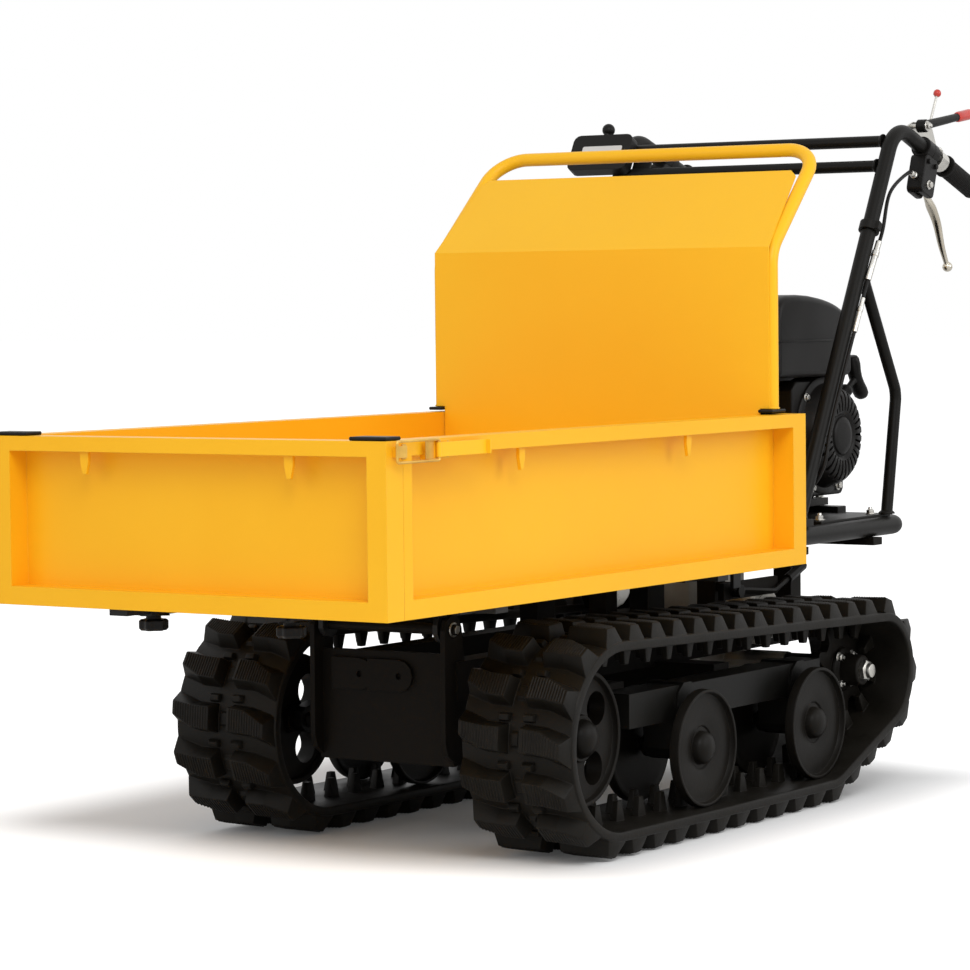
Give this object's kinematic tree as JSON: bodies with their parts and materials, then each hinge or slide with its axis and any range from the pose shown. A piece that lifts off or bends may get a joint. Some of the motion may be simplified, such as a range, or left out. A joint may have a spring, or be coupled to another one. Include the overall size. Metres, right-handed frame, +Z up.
{
  "type": "tracked dumper",
  "caption": "Walk-behind tracked dumper with a forward-tipping tray, sliding side and front gates, tall headboard, rubber tracks, rear engine and long control handles.",
  "frame": {"origin": "On the ground, under the middle of the overall length and width.", "axes": "+Z up, -Y to the front of the machine, +X to the machine's left side."},
  "size_m": [0.6826, 1.85, 1.1231],
  "materials": {
    "yellow_paint": "satin powder coat, golden yellow",
    "black_paint": "satin black powder coat",
    "track_rubber": "moulded black rubber",
    "black_plastic": "moulded black plastic",
    "wheel_paint": "black painted steel wheels",
    "engine_casting": "dark die-cast alloy",
    "zinc_steel": "zinc-plated steel",
    "polished_lever": "polished lever"
  },
  "bodies": {
    "chassis": {"chassis_frame": "black_paint", "track_frame_left": "black_paint", "track_frame_right": "black_paint", "track_belt_left": "track_rubber", "track_belt_right": "track_rubber", "transaxle": "engine_casting", "engine_deck": "black_paint", "crankcase": "engine_casting", "cylinder": "engine_casting", "recoil_housing": "black_plastic", "fuel_tank": "black_plastic", "air_cleaner": "black_plastic", "muffler": "black_paint", "belt_guard": "black_paint", "drive_belt": "track_rubber", "handle_tube_left": "black_paint", "handle_tube_right": "black_paint", "strut_left": "black_paint", "strut_right": "black_paint", "crossbars": "black_paint", "control_panel": "black_plastic", "grip_left": "track_rubber", "grip_right": "track_rubber", "lever_bracket": "zinc_steel", "cable_left": "black_plastic", "cable_right": "black_plastic"},
    "tray": {"tray_floor": "yellow_paint", "headboard": "yellow_paint", "headboard_rail": "yellow_paint", "rail_foot_cap_left": "black_plastic", "rail_foot_cap_right": "black_plastic"},
    "front_gate": {"front_gate": "yellow_paint", "corner_cap_left": "black_plastic", "corner_cap_right": "black_plastic"},
    "side_gate_left": {"side_gate_left": "yellow_paint"},
    "side_gate_right": {"side_gate_right": "yellow_paint"},
    "latch_lever_left": {"latch_lever_left": "zinc_steel"},
    "latch_lever_right": {"latch_lever_right": "zinc_steel"},
    "latch_bail_left": {"latch_bail_left": "zinc_steel"},
    "latch_bail_right": {"latch_bail_right": "zinc_steel"},
    "clamp_knob_left": {"clamp_knob_left": "black_plastic"},
    "clamp_knob_right": {"clamp_knob_right": "black_plastic"},
    "tip_lock_lever": {"tip_lock_lever": "black_paint"},
    "sprocket_left": {"sprocket_left": "wheel_paint"},
    "sprocket_right": {"sprocket_right": "wheel_paint"},
    "idler_left": {"idler_left": "wheel_paint"},
    "idler_right": {"idler_right": "wheel_paint"},
    "roller_front_left": {"roller_front_left": "wheel_paint"},
    "roller_front_right": {"roller_front_right": "wheel_paint"},
    "roller_rear_left": {"roller_rear_left": "wheel_paint"},
    "roller_rear_right": {"roller_rear_right": "wheel_paint"},
    "engine_pulley": {"engine_pulley": "zinc_steel"},
    "gearbox_pulley": {"gearbox_pulley": "zinc_steel"},
    "steering_lever_left": {"steering_lever_left": "polished_lever"},
    "steering_lever_right": {"steering_lever_right": "polished_lever"},
    "clutch_lever": {"clutch_lever": "black_paint"},
    "throttle_lever": {"throttle_lever": "zinc_steel"},
    "gear_lever": {"gear_lever": "black_plastic"},
    "recoil_handle": {"recoil_handle": "black_plastic"},
    "fuel_cap": {"fuel_cap": "black_plastic"}
  },
  "joints": [
    {"name": "tray_tilt", "type": "hinge", "parent": "chassis", "child": "tray", "pos_m": [0, -0.47, 0.318], "axis": [1, 0, 0], "range_deg": [0, 45]},
    {"name": "front_gate_slide", "type": "slide", "parent": "tray", "child": "front_gate", "axis": [0, -1, 0], "range_m": [0, 0.2]},
    {"name": "side_gate_left_slide", "type": "slide", "parent": "tray", "child": "side_gate_left", "axis": [1, 0, 0], "range_m": [0, 0.1]},
    {"name": "latch_lever_left_turn", "type": "hinge", "parent": "side_gate_left", "child": "latch_lever_left", "pos_m": [0.3348, -0.821, 0.587], "axis": [0, 0, -1], "range_deg": [0, 100]},
    {"name": "latch_bail_left_turn", "type": "hinge", "parent": "side_gate_left", "child": "latch_bail_left", "pos_m": [0.3348, -0.821, 0.587], "axis": [0, 0, 1], "range_deg": [0, 45]},
    {"name": "clamp_knob_left_turn", "type": "hinge", "parent": "tray", "child": "clamp_knob_left", "pos_m": [0.115, -0.845, 0.3606], "axis": [0, 0, 1], "continuous": true},
    {"name": "sprocket_left_spin", "type": "hinge", "parent": "chassis", "child": "sprocket_left", "pos_m": [0.25, 0.42, 0.187], "axis": [1, 0, 0], "continuous": true},
    {"name": "idler_left_spin", "type": "hinge", "parent": "chassis", "child": "idler_left", "pos_m": [0.25, -0.3785, 0.1645], "axis": [1, 0, 0], "continuous": true},
    {"name": "roller_front_left_spin", "type": "hinge", "parent": "chassis", "child": "roller_front_left", "pos_m": [0.25, -0.105, 0.1233], "axis": [1, 0, 0], "continuous": true},
    {"name": "roller_rear_left_spin", "type": "hinge", "parent": "chassis", "child": "roller_rear_left", "pos_m": [0.25, 0.24, 0.1233], "axis": [1, 0, 0], "continuous": true},
    {"name": "steering_lever_left_pull", "type": "hinge", "parent": "chassis", "child": "steering_lever_left", "pos_m": [0.25, 0.7248, 0.9597], "axis": [1, 0, 0], "range_deg": [0, 22], "stiffness_Nm_per_rad": 5, "springref_deg": -11.46},
    {"name": "side_gate_right_slide", "type": "slide", "parent": "tray", "child": "side_gate_right", "axis": [-1, 0, 0], "range_m": [0, 0.1]},
    {"name": "latch_lever_right_turn", "type": "hinge", "parent": "side_gate_right", "child": "latch_lever_right", "pos_m": [-0.3348, -0.821, 0.587], "axis": [0, 0, 1], "range_deg": [0, 100]},
    {"name": "latch_bail_right_turn", "type": "hinge", "parent": "side_gate_right", "child": "latch_bail_right", "pos_m": [-0.3348, -0.821, 0.587], "axis": [0, 0, -1], "range_deg": [0, 45]},
    {"name": "clamp_knob_right_turn", "type": "hinge", "parent": "tray", "child": "clamp_knob_right", "pos_m": [-0.115, -0.845, 0.3606], "axis": [0, 0, 1], "continuous": true},
    {"name": "sprocket_right_spin", "type": "hinge", "parent": "chassis", "child": "sprocket_right", "pos_m": [-0.25, 0.42, 0.187], "axis": [1, 0, 0], "continuous": true},
    {"name": "idler_right_spin", "type": "hinge", "parent": "chassis", "child": "idler_right", "pos_m": [-0.25, -0.3785, 0.1645], "axis": [1, 0, 0], "continuous": true},
    {"name": "roller_front_right_spin", "type": "hinge", "parent": "chassis", "child": "roller_front_right", "pos_m": [-0.25, -0.105, 0.1233], "axis": [1, 0, 0], "continuous": true},
    {"name": "roller_rear_right_spin", "type": "hinge", "parent": "chassis", "child": "roller_rear_right", "pos_m": [-0.25, 0.24, 0.1233], "axis": [1, 0, 0], "continuous": true},
    {"name": "steering_lever_right_pull", "type": "hinge", "parent": "chassis", "child": "steering_lever_right", "pos_m": [-0.25, 0.7248, 0.9597], "axis": [1, 0, 0], "range_deg": [0, 22], "stiffness_Nm_per_rad": 5, "springref_deg": -11.46},
    {"name": "tip_lock_lift", "type": "hinge", "parent": "chassis", "child": "tip_lock_lever", "pos_m": [0.2225, 0.15, 0.33], "axis": [1, 0, 0], "range_deg": [0, 12]},
    {"name": "engine_pulley_spin", "type": "hinge", "parent": "chassis", "child": "engine_pulley", "pos_m": [-0.141, 0.535, 0.553], "axis": [1, 0, 0], "continuous": true},
    {"name": "gearbox_pulley_spin", "type": "hinge", "parent": "chassis", "child": "gearbox_pulley", "pos_m": [-0.141, 0.375, 0.325], "axis": [1, 0, 0], "continuous": true},
    {"name": "clutch_lever_press", "type": "hinge", "parent": "chassis", "child": "clutch_lever", "pos_m": [0.25, 0.7319, 1.0572], "axis": [-1, 0, 0], "range_deg": [0, 20], "stiffness_Nm_per_rad": 10, "springref_deg": -14.32},
    {"name": "throttle_turn", "type": "hinge", "parent": "chassis", "child": "throttle_lever", "pos_m": [0.2235, 0.8026, 1.0477], "axis": [1, 0, 0], "range_deg": [-25, 25]},
    {"name": "gear_lever_shift", "type": "hinge", "parent": "chassis", "child": "gear_lever", "pos_m": [-0.295, 0.5971, 1.0032], "axis": [0, 0.8795, -0.4759], "range_deg": [-15, 15]},
    {"name": "starter_pull", "type": "slide", "parent": "chassis", "child": "recoil_handle", "axis": [0, 0.866, 0.5], "range_m": [0, 0.35], "stiffness_N_per_m": 20, "springref_m": -0.2},
    {"name": "fuel_cap_turn", "type": "hinge", "parent": "chassis", "child": "fuel_cap", "pos_m": [0.085, 0.465, 0.7883], "axis": [0, 0, 1], "range_deg": [0, 90]}
  ],
  "couplings": [
    {"joint": "idler_left_spin", "follows": "sprocket_left_spin", "ratio": 0.6496},
    {"joint": "roller_front_left_spin", "follows": "sprocket_left_spin", "ratio": 0.99935},
    {"joint": "roller_rear_left_spin", "follows": "sprocket_left_spin", "ratio": 0.99935},
    {"joint": "idler_right_spin", "follows": "sprocket_right_spin", "ratio": 0.6496},
    {"joint": "roller_front_right_spin", "follows": "sprocket_right_spin", "ratio": 0.99935},
    {"joint": "roller_rear_right_spin", "follows": "sprocket_right_spin", "ratio": 0.99935},
    {"joint": "gearbox_pulley_spin", "follows": "engine_pulley_spin", "ratio": 0.6304}
  ]
}
